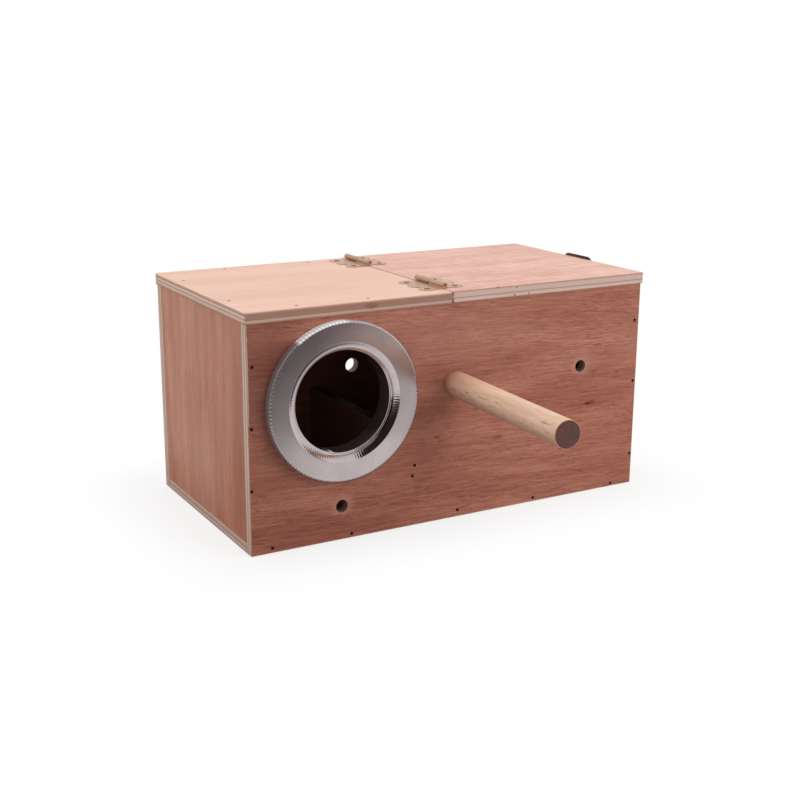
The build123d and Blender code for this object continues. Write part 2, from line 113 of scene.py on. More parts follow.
def paint(code: str) -> tuple[float, float, float, float]:
    """Turn a written colour into the linear one that a shader mixes.

    Args:
        code: A hash and six hexadecimal digits, as a picture shows the colour.

    Returns:
        Red, green, blue and a full alpha, all linear.
    """
    parts = [int(code[place : place + 2], 16) / 255 for place in (1, 3, 5)]
    linear = [part / 12.92 if part <= 0.04045 else ((part + 0.055) / 1.055) ** 2.4 for part in parts]
    return (linear[0], linear[1], linear[2], 1.0)


Pair = tuple[float, float]
Spot = tuple[float, float, float]
Value = Union["Field", float]
Place = tuple[Value, Value, Value]
Pairs = Sequence[Pair]


class Field:
    """A number, a place or a colour that changes over a surface, with the operators of ordinary sums."""

    def __init__(self, web: "Web", socket: bpy.types.NodeSocket) -> None:
        """Keep the socket and the web of nodes that it belongs to."""
        self.web = web
        self.socket = socket

    def __add__(self, other: Value) -> "Field":
        """Return the sum."""
        return self.web.sum_of("ADD", self, other)

    __radd__ = __add__

    def __sub__(self, other: Value) -> "Field":
        """Return the difference."""
        return self.web.sum_of("SUBTRACT", self, other)

    def __rsub__(self, other: Value) -> "Field":
        """Return the other value less this one."""
        return self.web.sum_of("SUBTRACT", other, self)

    def __mul__(self, other: Value) -> "Field":
        """Return the product."""
        return self.web.sum_of("MULTIPLY", self, other)

    __rmul__ = __mul__

    def __truediv__(self, other: Value) -> "Field":
        """Return the quotient."""
        return self.web.sum_of("DIVIDE", self, other)

    def __pow__(self, other: Value) -> "Field":
        """Return this value raised to a power."""
        return self.web.sum_of("POWER", self, other)

    def __abs__(self) -> "Field":
        """Return the size of the value without its sign."""
        return self.web.sum_of("ABSOLUTE", self)

    def least(self, other: Value) -> "Field":
        """Return the smaller of the two."""
        return self.web.sum_of("MINIMUM", self, other)

    def most(self, other: Value) -> "Field":
        """Return the larger of the two."""
        return self.web.sum_of("MAXIMUM", self, other)

    def root(self) -> "Field":
        """Return the square root."""
        return self.web.sum_of("SQRT", self)

    def sine(self) -> "Field":
        """Return the sine of the value in radians."""
        return self.web.sum_of("SINE", self)

    def swing(self, amount: float) -> "Field":
        """Return how far the value is from one half, times an amount."""
        return (self - 0.5) * amount

    def rise(self, low: float, high: float) -> "Field":
        """Run smoothly from 0 at one value to 1 at another.

        Args:
            low: The value at which the result is 0.
            high: The value at which it is 1, which may be the smaller of the two.

        Returns:
            The smooth step.
        """
        flip = low > high
        limits = {"From Min": min(low, high), "From Max": max(low, high)}
        limits.update({"To Min": 1.0 if flip else 0.0, "To Max": 0.0 if flip else 1.0})
        settings = {"interpolation_type": "SMOOTHSTEP", "clamp": True}
        return self.web.node("ShaderNodeMapRange", settings, {"Value": self, **limits})


Socket = Field | float | tuple | Vector | str


class Web:
    """The nodes of one material or world, joined by plain Python expressions."""

    def __init__(self, name: str, kind: str = "materials") -> None:
        """Start an empty material or world.

        Args:
            name: Its name.
            kind: Blender's list that it goes into.
        """
        self.owner = getattr(bpy.data, kind).new(name)
        self.owner.use_nodes = True
        self.tree = self.owner.node_tree
        self.tree.nodes.clear()

    def node(
        self,
        kind: str,
        settings: dict | None = None,
        inputs: dict[str | int, Socket] | None = None,
        out: str | int = 0,
    ) -> Field:
        """Add one node, set it up and join it.

        Args:
            kind: Blender's name for the node.
            settings: Its own settings, set first; a ramp takes its stops as "stops".
            inputs: A value, a written colour or a field for each socket that needs one.
            out: The output to hand back.

        Returns:
            The chosen output as a field.
        """
        made = self.tree.nodes.new(kind)
        for key, value in (settings or {}).items():
            if key == "stops":
                self.set_stops(made.color_ramp, value)
            else:
                setattr(made, key, value)
        for key, value in (inputs or {}).items():
            if isinstance(value, Field):
                self.tree.links.new(value.socket, made.inputs[key])
            else:
                made.inputs[key].default_value = paint(value) if isinstance(value, str) else value
        return Field(self, made.outputs[out] if made.outputs else None)

    @staticmethod
    def set_stops(ramp: bpy.types.ColorRamp, stops: list[tuple[float, tuple]]) -> None:
        """Give a colour ramp its stops.

        Args:
            ramp: The ramp of a new node, which has two stops.
            stops: The place and linear colour of each stop, in rising order.
        """
        while len(ramp.elements) < len(stops):
            ramp.elements.new(1.0)
        for element, (place, colour) in zip(ramp.elements, stops):
            element.position = place
            element.color = colour

    def sum_of(self, operation: str, *values: Value) -> Field:
        """Work out one step of arithmetic on fields and numbers."""
        return self.node("ShaderNodeMath", {"operation": operation}, dict(enumerate(values)))

    def parts(self, vector: Field) -> Place:
        """Take a vector apart.

        Args:
            vector: The vector field.

        Returns:
            Its three numbers.
        """
        split = self.node("ShaderNodeSeparateXYZ", None, {0: vector})
        outputs = split.socket.node.outputs
        return Field(self, outputs[0]), Field(self, outputs[1]), Field(self, outputs[2])

    def place(self, centre: Vector | None = None, turn: Spot = (0.0, 0.0, 0.0)) -> Place:
        """Give the place on the object in millimetres.

        Args:
            centre: The point, in metres, that becomes the pattern's middle, or None for the origin.
            turn: The pattern's turn about the three axes, in radians.

        Returns:
            The place's three numbers.
        """
        spot = self.node("ShaderNodeTexCoord", None, None, "Object")
        # The texture kind of mapping takes the location away first, then turns and divides
        middle = tuple(centre or Vector())
        values = {"Vector": spot, "Location": middle, "Rotation": turn, "Scale": (MM, MM, MM)}
        return self.parts(self.node("ShaderNodeMapping", {"vector_type": "TEXTURE"}, values))

    def facing(self, axis: Axis) -> Field:
        """Tell how squarely the surface faces along one axis, either way."""
        normal = self.node("ShaderNodeTexCoord", None, None, "Normal")
        return abs(self.parts(normal)[axis.value])

    def noise(self, place: Place, detail: float = 2.0, rough: float = 0.5, twist: float = 0.0) -> Field:
        """Give soft noise with cells about one unit wide.

        Args:
            place: The place, already divided by the size of the cells.
            detail: How many finer layers it has.
            rough: How strong the finer layers are.
            twist: How much it is distorted.

        Returns:
            The noise, around one half.
        """
        vector = self.node("ShaderNodeCombineXYZ", None, dict(enumerate(place)))
        values = {"Vector": vector, "Scale": 1.0, "Detail": detail, "Roughness": rough, "Distortion": twist}
        return self.node("ShaderNodeTexNoise", None, values)

    def ramp(self, factor: Value, *stops: tuple[float, str]) -> Field:
        """Turn a number into a colour.

        Args:
            factor: The number.
            stops: The place and written colour of each stop.

        Returns:
            The colour.
        """
        colours = [(place, paint(code)) for place, code in stops]
        return self.node("ShaderNodeValToRGB", {"stops": colours}, {"Fac": factor})

    def mix(self, factor: Value, first: Field, second: Field | str) -> Field:
        """Mix two colours.

        Args:
            factor: How much of the second.
            first: The colour underneath.
            second: The colour on top, which may be a written one.

        Returns:
            The mixed colour.
        """
        settings = {"data_type": "RGBA", "clamp_factor": True}
        return self.node("ShaderNodeMix", settings, {0: factor, 6: first, 7: second}, 2)

    def bump(self, height: Field, depth_mm: float, strength: float) -> Field:
        """Turn a height from 0 to 1 into a normal.

        Args:
            height: The height over the surface.
            depth_mm: What a height of 1 stands for, in millimetres.
            strength: How much of it shows.

        Returns:
            The normal.
        """
        values = {"Height": height, "Distance": depth_mm * MM, "Strength": strength}
        return self.node("ShaderNodeBump", None, values)

    def surface(self, colour: Field, roughness: Value, normal: Field, **others: Value) -> bpy.types.Material:
        """Finish the material with one shader.

        Args:
            colour: The base colour.
            roughness: The roughness.
            normal: The normal.
            others: Values for more of the shader's sockets, such as Metallic.

        Returns:
            The finished material.
        """
        inputs = {"Base Color": colour, "Roughness": roughness, "Normal": normal}
        inputs.update({key.replace("_", " "): value for key, value in others.items()})
        shader = self.node("ShaderNodeBsdfPrincipled", None, inputs)
        self.node("ShaderNodeOutputMaterial", None, {"Surface": shader})
        return self.owner


@dataclass(frozen=True)
class Mark:
    """A knot, stain, chipped place or stretch of painted shade on a board, as an oval with a ragged rim."""

    along: float
    across: float
    radius_along: float
    radius_across: float
    colour: str
    strength: float = 1.0
    ragged: float = 0.5
    soft: float = 0.35

    def cover(self, web: Web, along: Field, across: Field, grit: Field) -> Field:
        """Work out where the mark lies.

        Args:
            web: The material's nodes.
            along: The place along the grain, in millimetres.
            across: The place across it.
            grit: Noise around one half that tears the rim.

        Returns:
            A mask from 0 to the mark's strength.
        """
        far_along = (along - self.along) / self.radius_along
        far_across = (across - self.across) / self.radius_across
        far = (far_along**2 + far_across**2).root()
        return (far + grit.swing(2 * self.ragged)).rise(1 + self.soft, 1 - self.soft) * self.strength


@dataclass(frozen=True)
class Veneer:
    """The face of a plywood board: its colours, and how strongly each part of its figure shows."""

    dark: str
    middle: str
    light: str
    pore: str
    streak: float
    pores: float
    bands: float = 0.75
    band_width: float = 11.0
    dashes: float = 0.4
    ripple: float = 0.0
    painted_light_falloff: float = 0.0
    slant: float = 0.0


@dataclass(frozen=True)
class Plies:
    """The cut edge of a plywood board, from its outer face to its inner one, as shares of its thickness."""

    long_edge: tuple[tuple[float, str], ...]
    end_edge: tuple[tuple[float, str], ...]
    grain: float = 0.5


@dataclass(frozen=True)
class Plywood:
    """The finish of one plywood board, whose seed makes its figure its own."""

    name: str
    thick: Axis
    outer_high: bool
    grain: Axis
    veneer: Veneer
    plies: Plies
    seed: float
    marks_and_shade: tuple[Mark, ...] = ()
    worn: str = "#d8b7a4"
    wear: float = 0.45
    front_specks: tuple[Mark, ...] = ()
    inner_shade: float = 0.0
    inner_shade_colour: str = "#74564c"
    bore_shade: str = "#56403a"
    bore_from: float = 1.5
    roughness: float = 0.52

    @property
    def across(self) -> Axis:
        """Return the axis that is neither the thickness nor the grain."""
        return next(axis for axis in Axis if axis not in (self.thick, self.grain))

    def figure(self, web: Web, along: Field, across: Field, share: Field) -> tuple[Field, Field]:
        """Draw the face veneer.

        Args:
            web: The material's nodes.
            along: The place along the grain, in millimetres.
            across: The place across it.
            share: The place along the grain as a share of the board.

        Returns:
            The colour and the height.
        """
        look = self.veneer
        wander = web.noise((along / 70, across / 30, self.seed), 1.0).swing(4.0)
        flutter = web.noise((along / 16, across / 5, self.seed + 3)).swing(0.45)
        lines = across + wander + flutter + along * look.slant
        broad = web.noise((along / 85, lines / look.band_width, self.seed + 7))
        ribbon = web.noise((along / 21, lines / 1.3, self.seed + 11), 2.0, 0.55)
        streak = web.noise((along / 7.5, lines / 0.36, self.seed + 17), 2.0, 0.55)
        tone = broad.swing(look.bands) + (ribbon.swing(0.5) + streak.swing(0.6)) * look.streak + 0.5
        if look.ripple:
            cross = web.noise((along / 3.2, lines / 16, self.seed + 23), 1.0, 0.5, 0.4)
            tone = tone + cross.swing(look.ripple)
        # Painted light: the face grows lighter along the grain towards the board's far end, the right of the
        # front wall, nearer the front lamp
        if look.painted_light_falloff:
            tone = tone + share.swing(look.painted_light_falloff)
        colour = web.ramp(tone, (0.14, look.dark), (0.5, look.middle), (0.86, look.light))
        patchy = web.noise((along / 24, lines / 9, self.seed + 31), 1.0).rise(0.36, 0.62)
        dash = web.noise((along / 7.0, lines / 0.55, self.seed + 27), 1.5).rise(0.56, 0.72)
        colour = web.mix(dash * (patchy * 0.6 + 0.4) * look.dashes, colour, look.pore)
        pore = web.noise((along / 2.4, lines / 0.22, self.seed + 29), 1.0).rise(0.60, 0.72)
        pore = pore * patchy * look.pores
        colour = web.mix(pore, colour, look.pore)
        return colour, streak * 0.5 - pore * 0.8 - dash * 0.25 + 0.5

    def cut(self, web: Web, spot: Place, share: Field, end: Field) -> tuple[Field, Field]:
        """Draw the plies of a sawn edge or a bored hole.

        Args:
            web: The material's nodes.
            spot: The place along the grain, across it and in from the outer face.
            share: The depth as a share of the thickness.
            end: 1 where the cut crosses the face grain.

        Returns:
            The colour and the height.
        """
        along, across, depth = spot
        level = share + web.noise((along / 23, across / 23, self.seed + 41), 1.0).swing(0.09)
        colour = web.mix(end, web.ramp(level, *self.plies.long_edge), web.ramp(level, *self.plies.end_edge))
        fibre = web.noise((along / 5, across / 5, depth / 0.28 + self.seed), 2.5, 0.65)
        grit = web.noise((along / 0.45, across / 0.45, depth / 0.45), 2.0, 0.6)
        shade = fibre.swing(0.9) + grit.swing(0.5)
        colour = web.mix(shade.rise(0.0, -0.45) * self.plies.grain, colour, "#6d4b3c")
        colour = web.mix(shade.rise(0.05, 0.5) * (self.plies.grain * 0.8), colour, "#ead7c6")
        return colour, fibre * 0.6 + grit * 0.6

    def made(self, low: Vector, high: Vector) -> bpy.types.Material:
        """Build the material of one board.

        Args:
            low: The board's lowest corner, in metres.
            high: Its highest corner.

        Returns:
            The material.
        """
        web = Web(self.name)
        where = web.place()
        along, across = where[self.grain.value], where[self.across.value]
        outer = (high if self.outer_high else low)[self.thick.value] / MM
        inwards = -1.0 if self.outer_high else 1.0
        depth = (where[self.thick.value] - outer) * inwards
        thickness = (high[self.thick.value] - low[self.thick.value]) / MM
        start, stop = low[self.grain.value] / MM, high[self.grain.value] / MM
        foot, top = low[self.across.value] / MM, high[self.across.value] / MM
        share = (along - start) / (stop - start)
        face, face_height = self.figure(web, along, across, share)
        end = web.facing(self.grain).rise(0.4, 0.6)
        edge, edge_height = self.cut(web, (along, across, depth), depth / thickness, end)
        flat = web.facing(self.thick).rise(0.55, 0.8)
        grit = web.noise((along / 2.4, across / 1.5, depth / 2 + self.seed), 3.0, 0.65)
        rim = (along - start).least(stop - along).least((across - foot).least(top - across))
        # A cut away from the outline is a bored hole, whose wall is painted darker than a sawn edge, as
        # painted shade inside the hole
        edge = web.mix(rim.rise(self.bore_from, self.bore_from * 2) * 0.62, edge, self.bore_shade)
        # Painted shade: the inner faces are darkened towards the inside of the box, which is dim
        if self.inner_shade:
            inner = (depth / thickness).rise(0.6, 0.9) * self.inner_shade
            face = web.mix(inner, face, self.inner_shade_colour)
        worn = (rim + grit.swing(0.9)).rise(0.55, 0.05) * self.wear
        face = web.mix(worn, face, self.worn)
        for mark in self.front_specks:
            edge = web.mix(mark.cover(web, along, depth, grit) * across.rise(0.0, -1.0), edge, mark.colour)
        for mark in self.marks_and_shade:
            face = web.mix(mark.cover(web, along, across, grit), face, mark.colour)
        colour = web.mix(flat, edge, face)
        height = edge_height + (face_height - edge_height) * flat
        roughness = web.noise((along / 20, across / 6, 2.0)).swing(0.16) + self.roughness
        normal = web.bump(height, 0.05, 0.2)
        return web.surface(colour, roughness, normal, Specular_IOR_Level=0.28)


@dataclass(frozen=True)
class Dowel:
    """Turned beech stick finish: flecked long grain, painted shade below and at the root, a darker sawn end.
    """

    name: str
    place: Matrix
    length: float
    fleck: str = "#704432"
    underside_shade: str = "#8f5e4a"
    root: str = "#b57f62"
    root_rim: str = "#945a43"
    cut_rim: str = "#e5a878"
    cut_rim_from: float = 0.5
    cut_from: float = 0.07

    def made(self) -> bpy.types.Material:
        """Build the material, with its pattern laid along the stick.

        Returns:
            The material.
        """
        web = Web(self.name)
        side, back, along = web.place(self.place.translation, tuple(self.place.to_euler()))
        wander = web.noise((side / 8, back / 8, along / 60), 1.0).swing(3.0)
        broad = web.noise((side / 3.4 + wander, back / 3.4, along / 70))
        streak = web.noise((side / 0.5, back / 0.5, along / 9), 2.0, 0.6)
        tone = broad.swing(0.9) + streak.swing(0.5) + 0.5
        wood = web.ramp(tone, (0.15, "#d8aa8f"), (0.5, "#e9c2a7"), (0.85, "#f6d7c0"))
        fleck = web.noise((side / 0.42, back / 0.42, along / 7.0), 1.0).rise(0.60, 0.68)
        rows = web.noise((side / 2.4, back / 2.4, along / 34), 1.0).rise(0.40, 0.54)
        lower = back.rise(5.5, 2.0) * 0.8 + 0.2
        wood = web.mix(fleck * (rows * 0.75 + 0.12) * lower, wood, self.fleck)
        # Painted shade on the stick's underside
        wood = web.mix(back.rise(2.5, -5.0) * 0.6, wood, self.underside_shade)
        # Painted shade: darker towards the root, where the wall shades the stick
        wood = web.mix(along.rise(self.length / 2, 0.0) * 0.35, wood, self.root)
        wood = web.mix(along.rise(9.0, 1.0) * (broad * 0.6 + 0.1), wood, self.root_rim)
        speck = web.noise((side / 0.22, back / 0.22, along / 0.5), 2.0, 0.7)
        cloud = web.noise((side / 3.5, back / 3.5, 7.0))
        sawn = web.ramp(cloud * 0.45 + speck * 0.55, (0.25, "#543630"), (0.5, "#68443e"), (0.75, "#78524b"))
        to_cut = self.length - along
        wood = web.mix(to_cut.rise(self.cut_rim_from, self.cut_rim_from - 0.2), wood, self.cut_rim)
        end = to_cut.rise(self.cut_from, self.cut_from - 0.02)
        colour = web.mix(end, wood, sawn)
        height = streak * 0.6 - fleck * 0.5 + speck * end
        normal = web.bump(height, 0.07, 0.5)
        return web.surface(colour, streak.swing(0.2) + 0.5, normal, Specular_IOR_Level=0.35)


@dataclass(frozen=True)
class TurnedMetal:
    """Turned entrance ring finish: satin face with painted shade; polished cove; fluted rim with painted
    highlight.
    """

    name: str
    centre: Vector
    cove: Pair
    rim: float
    flutes: float = 132.0
    # The colours of the painted shade on the face and of the painted highlight on the rim, and the
    # highlight's stretch as angles from the box's right
    painted_face_shade: str = "#2c2a2e"
    painted_glint: str = "#ffffff"
    glint_turn: Pair = (1.45, 2.26)

    def made(self) -> bpy.types.Material:
        """Build the material, with turning marks round the ring's middle.

        Returns:
            The material.
        """
        web = Web(self.name)
        side, depth, up = web.place(self.centre)
        radius = (side**2 + up**2).root()
        lathe = web.noise((radius / 0.34, depth / 0.34, 4.0), 2.0, 0.7)
        speck = web.noise((side / 0.35, depth / 0.35, up / 0.35), 2.0, 0.7)
        cloud = web.noise((side / 14, depth / 14, up / 14))
        tone = lathe.swing(0.5) + speck.swing(0.6) + cloud.swing(0.4) + 0.5
        colour = web.ramp(tone, (0.2, "#ab9fa0"), (0.5, "#c0b3b4"), (0.8, "#d5c9cb"))
        inner, outer = self.cove
        satin = radius.rise(outer - 0.1, outer + 0.1)
        fluted = radius.rise(self.rim - 1.2, self.rim - 0.9)
        barrel = radius.rise(self.rim - 0.12, self.rim - 0.04)
        sleeve = radius.rise(inner - 1.1, inner - 1.3)
        polished = radius.rise(inner - 0.1, inner + 0.1) * radius.rise(outer - 0.1, outer - 0.3)
        roughness = satin * 0.15 + fluted * 0.02 + barrel * 0.2 + 0.09 + speck.swing(0.1)
        scratch = web.noise((side / 6, depth / 0.3, up / 0.25), 1.0).rise(0.66, 0.72)
        turn = web.sum_of("ARCTAN2", up, side)
        flutes = (turn * self.flutes).sine()
        # Painted highlight: a white, less metallic stretch of the rim's rounded edge, broken by the flutes
        start, stop = self.glint_turn
        arc = turn.rise(start, start + 0.15) * turn.rise(stop, stop - 0.06)
        highlight_mask = arc * radius.rise(self.rim - 1.0, self.rim - 0.7) * (flutes * 0.18 + 0.82)
        # Painted shade: the satin face is darkened towards its left and its right
        left = ((up * 0.4 - side) / radius).rise(0.0, 1.15) * 0.42
        right = (side / radius).rise(0.6, 1.0) * 0.22
        colour = web.mix((left + right) * satin, colour, self.painted_face_shade)
        colour = web.mix(highlight_mask, colour, self.painted_glint)
        chatter = flutes * (fluted * 5.5 + polished * 0.8)
        normal = web.bump(lathe * 0.6 + speck * 0.4 - scratch * 0.3 + chatter, 0.02, 0.45)
        metallic = (1.0 - barrel * 0.5 - sleeve * 0.07) * (1.0 - highlight_mask)
        return web.surface(colour, roughness, normal, Metallic=metallic)


@dataclass(frozen=True)
class Hardware:
    """The finish of small metal parts: blotchy, with rubbed edges, and a crown tone above one height."""

    name: str
    dark: str
    middle: str
    light: str
    metallic: float = 0.9
    roughness: float = 0.4
    cell: float = 2.2
    sheen: float = 0.5
    crown_from: float = 1000.0
    crown: str = "#a98a66"

    def made(self) -> bpy.types.Material:
        """Build the material.

        Returns:
            The material.
        """
        web = Web(self.name)
        side, depth, up = web.place()
        cloud = web.noise((side / self.cell, depth / self.cell, up / self.cell), 3.0, 0.6)
        speck = web.noise((side / 0.3, depth / 0.3, up / 0.3), 2.0, 0.7)
        tone = cloud.swing(1.1) + speck.swing(0.5) + 0.5
        colour = web.ramp(tone, (0.2, self.dark), (0.5, self.middle), (0.82, self.light))
        crown = up.rise(self.crown_from, self.crown_from + 0.5) * (cloud * 0.5 + 0.45)
        colour = web.mix(crown, colour, self.crown)
        edge = web.node("ShaderNodeNewGeometry", None, None, "Pointiness").rise(0.52, 0.58)
        colour = web.mix(edge * 0.55, colour, self.light)
        roughness = cloud.swing(0.3) + self.roughness
        normal = web.bump(cloud * 0.5 + speck * 0.5, 0.03, 0.5)
        return web.surface(colour, roughness, normal, Metallic=self.metallic, Specular_IOR_Level=self.sheen)


def only(piece: bpy.types.Object) -> None:
    """Select one object and nothing else.

    Args:
        piece: The object that the next operators act on.
    """
    bpy.ops.object.select_all(action="DESELECT")
    piece.select_set(True)
    bpy.context.view_layer.objects.active = piece


def shade(piece: bpy.types.Object, angle_deg: float) -> None:
    """Shade a mesh smoothly, with its broad faces kept flat.

    Args:
        piece: The object.
        angle_deg: Edges sharper than this stay sharp.
    """
    only(piece)
    bpy.ops.object.shade_smooth_by_angle(angle=math.radians(angle_deg))
    bpy.ops.object.modifier_add(type="WEIGHTED_NORMAL")
    weighted = piece.modifiers[-1]
    weighted.keep_sharp = True
    bpy.ops.object.modifier_apply(modifier=weighted.name)


def apply_bevel(piece: bpy.types.Object, width_mm: float, segments: int, angle_deg: float) -> None:
    """Round the sharp edges of a mesh.

    Args:
        piece: The object.
        width_mm: The width of the rounding.
        segments: How many faces it has.
        angle_deg: Edges sharper than this are rounded.
    """
    only(piece)
    bpy.ops.object.modifier_add(type="BEVEL")
    bevel = piece.modifiers[-1]
    bevel.width = width_mm * MM
    bevel.segments = segments
    bevel.limit_method = "ANGLE"
    bevel.angle_limit = math.radians(angle_deg)
    bpy.ops.object.modifier_apply(modifier=bevel.name)
    shade(piece, angle_deg)


def softened(node: str, edge_mm: float, segments: int = 2) -> bpy.types.Object:
    """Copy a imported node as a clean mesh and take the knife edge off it.

    Args:
        node: The node's name.
        edge_mm: The width of the rounding on its edges.
        segments: How many faces the rounding has.

    Returns:
        The new piece, which stands for the node and rides where it does.
    """
    source = frame["nodes"][node]
    piece = bpy.data.objects.new(f"{node}_finished", source.data.copy())
    bpy.context.scene.collection.objects.link(piece)
    only(piece)
    bpy.ops.object.mode_set(mode="EDIT")
    bpy.ops.mesh.select_all(action="SELECT")
    bpy.ops.mesh.remove_doubles(threshold=WELD)
    bpy.ops.mesh.dissolve_limited(angle_limit=math.radians(FLAT_DEG))
    bpy.ops.object.mode_set(mode="OBJECT")
    apply_bevel(piece, edge_mm, segments, SHARP_DEG)
    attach(piece, source["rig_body"])
    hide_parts(node)
    return piece


def dress(piece: bpy.types.Object, material: bpy.types.Material) -> None:
    """Give a piece its one material and log it.

    Args:
        piece: The object.
        material: The material.
    """
    piece.data.materials.clear()
    piece.data.materials.append(material)
    log.info("%s: %s, %d faces", piece.name, material.name, len(piece.data.polygons))


def lay_boards(boards: dict[str, Plywood], edge_mm: float) -> None:
    """Soften the edges of boards and dress them.

    Args:
        boards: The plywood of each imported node.
        edge_mm: The width of the rounding on their edges.
    """
    for node, finish in boards.items():
        dress(softened(node, edge_mm), finish.made(*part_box(node)))


def turned(
    name: str, stations: Pairs, segments: int, place: Matrix, closed: bool, flute: float = 0.0
) -> bpy.types.Object:
    """Turn a shape as on a lathe, one ring of points after another.

    Args:
        name: The piece's name.
        stations: The radius and the height of each ring, in millimetres, from first to last.
        segments: How many points a ring has.
        place: Where the lathe's middle line goes.
        closed: True if the last ring joins the first, False if both ends are capped.
        flute: How far every other point of the widest rings is drawn in, in millimetres.

    Returns:
        The new piece, at the origin with its place in its mesh.
    """
    bpy.ops.object.select_all(action="DESELECT")
    radius, height = stations[0]
    bpy.ops.mesh.primitive_circle_add(vertices=segments, radius=radius * MM, fill_type="NOTHING")
    piece = bpy.context.active_object
    piece.name = name
    bpy.ops.object.mode_set(mode="EDIT")
    bpy.ops.mesh.select_all(action="SELECT")
    bpy.ops.transform.translate(value=(0, 0, height * MM))
    for (before, low), (after, high) in zip(stations, stations[1:]):
        bpy.ops.mesh.extrude_edges_move(TRANSFORM_OT_translate={"value": (0, 0, (high - low) * MM)})
        scale = after / before
        bpy.ops.transform.resize(value=(scale, scale, 1), center_override=(0, 0, high * MM))
    bpy.ops.mesh.select_mode(type="EDGE")
    bpy.ops.mesh.select_all(action="DESELECT")
    bpy.ops.mesh.select_non_manifold()
    if closed:
        bpy.ops.mesh.bridge_edge_loops()
    else:
        bpy.ops.mesh.edge_face_add()
    bpy.ops.mesh.select_all(action="SELECT")
    bpy.ops.mesh.normals_make_consistent(inside=False)
    bpy.ops.object.mode_set(mode="OBJECT")
    widest = max(radius for radius, _ in stations) * MM
    for vertex in piece.data.vertices:
        spot = vertex.co
        around = round(math.atan2(spot.y, spot.x) / math.tau * segments)
        if flute and around % 2 and math.hypot(spot.x, spot.y) > widest - NEAR:
            spot.xy *= 1 - flute * MM / widest
    piece.matrix_world = place
    only(piece)
    bpy.ops.object.transform_apply(location=True, rotation=True, scale=True)
    return piece


RED_VENEER = Veneer(
    "#935647", "#b87561", "#d3947e", "#703729", 1.2, 0.7, 0.8, 12.0, 0.55, painted_light_falloff=0.12, slant=0.045
)
SIDE_VENEER = Veneer("#a5654e", "#bf7f66", "#d4997e", "#7a4837", 1.0, 0.5, 0.8, 7.0, 0.36)
# Painted shade: the nest board inside the box has a face much darker than the walls' plywood, as the inside
# is dim
INNER_SHADED_VENEER = Veneer("#765a4e", "#896b5f", "#98796c", "#5c4137", 0.6, 0.4)
PEACH_VENEER = Veneer("#dfae97", "#edc3ae", "#f5d3c2", "#bd8a72", 0.5, 0.25, 0.6, 16.0, 0.14, ripple=0.06)
PINK_VENEER = Veneer("#cb907d", "#e5b6a5", "#f4d0c1", "#c67f6d", 1.15, 0.5, 0.6, 13.0, 0.5, ripple=0.3)

WALL_PLIES = Plies(
    long_edge=((0.0, "#9a6351"), (0.1, "#bd9282"), (0.17, "#d5b8a7"), (0.34, "#cbac9a"), (0.38, "#b59484"),
               (0.42, "#dcc0b0"), (0.62, "#d3b6a5"), (0.66, "#b49282"), (0.7, "#d8bbaa"), (0.88, "#c9a796"),
               (0.92, "#a5725f"), (1.0, "#9a6351")),
    end_edge=((0.0, "#9b6351"), (0.08, "#b58a78"), (0.16, "#d9c2b1"), (0.36, "#d2b9a8"), (0.42, "#bd9c8a"),
              (0.6, "#bf9f8d"), (0.66, "#d0b7a6"), (0.86, "#d7c0af"), (0.93, "#a6715e"), (1.0, "#9b6351")),
)
# Painted shade: the nest board's plies are dark, as the inside of the box is dim
INNER_SHADED_EDGE = ((0.0, "#5c4238"), (0.3, "#684c41"), (0.5, "#563c32"), (0.7, "#684c41"), (1.0, "#5c4238"))
INNER_SHADED_PLIES = Plies(long_edge=INNER_SHADED_EDGE, end_edge=INNER_SHADED_EDGE, grain=0.05)
FIXED_PLIES = Plies(
    long_edge=((0.0, "#ffdbc9"), (0.08, "#eabaa6"), (0.13, "#c59681"), (0.24, "#b18271"), (0.6, "#ae8a76"),
               (0.64, "#967362"), (0.68, "#cca99a"), (0.86, "#d6b5a5"), (0.9, "#b48b78"), (1.0, "#aa816e")),
    end_edge=((0.0, "#f5cdb9"), (0.12, "#d6ac99"), (0.18, "#b68c7b"), (0.3, "#bb9382"), (0.34, "#e6ccb8"),
              (0.5, "#dcbfab"), (0.54, "#b39181"), (0.62, "#bf9986"), (0.66, "#dfc2af"), (0.84, "#d4b29f"),
              (0.88, "#b08473"), (1.0, "#b48a78")),
)
HINGED_PLIES = Plies(
    long_edge=((0.0, "#d8a598"), (0.08, "#cc9d8b"), (0.14, "#d7b6a8"), (0.2, "#e5c7b9"), (0.54, "#e2c3b5"),
               (0.57, "#b79a8c"), (0.64, "#c2aa9c"), (0.68, "#dfc2b3"), (0.86, "#ebd1c4"), (0.93, "#dbaf9e"),
               (1.0, "#cc9d89")),
    end_edge=((0.0, "#d8a598"), (0.1, "#cb9c8a"), (0.2, "#c29f8c"), (0.34, "#bc9886"), (0.38, "#e9cebd"),
              (0.6, "#e4c6b5"), (0.64, "#b99785"), (0.84, "#c09d89"), (0.9, "#d4aa97"), (1.0, "#cc9d89")),
)

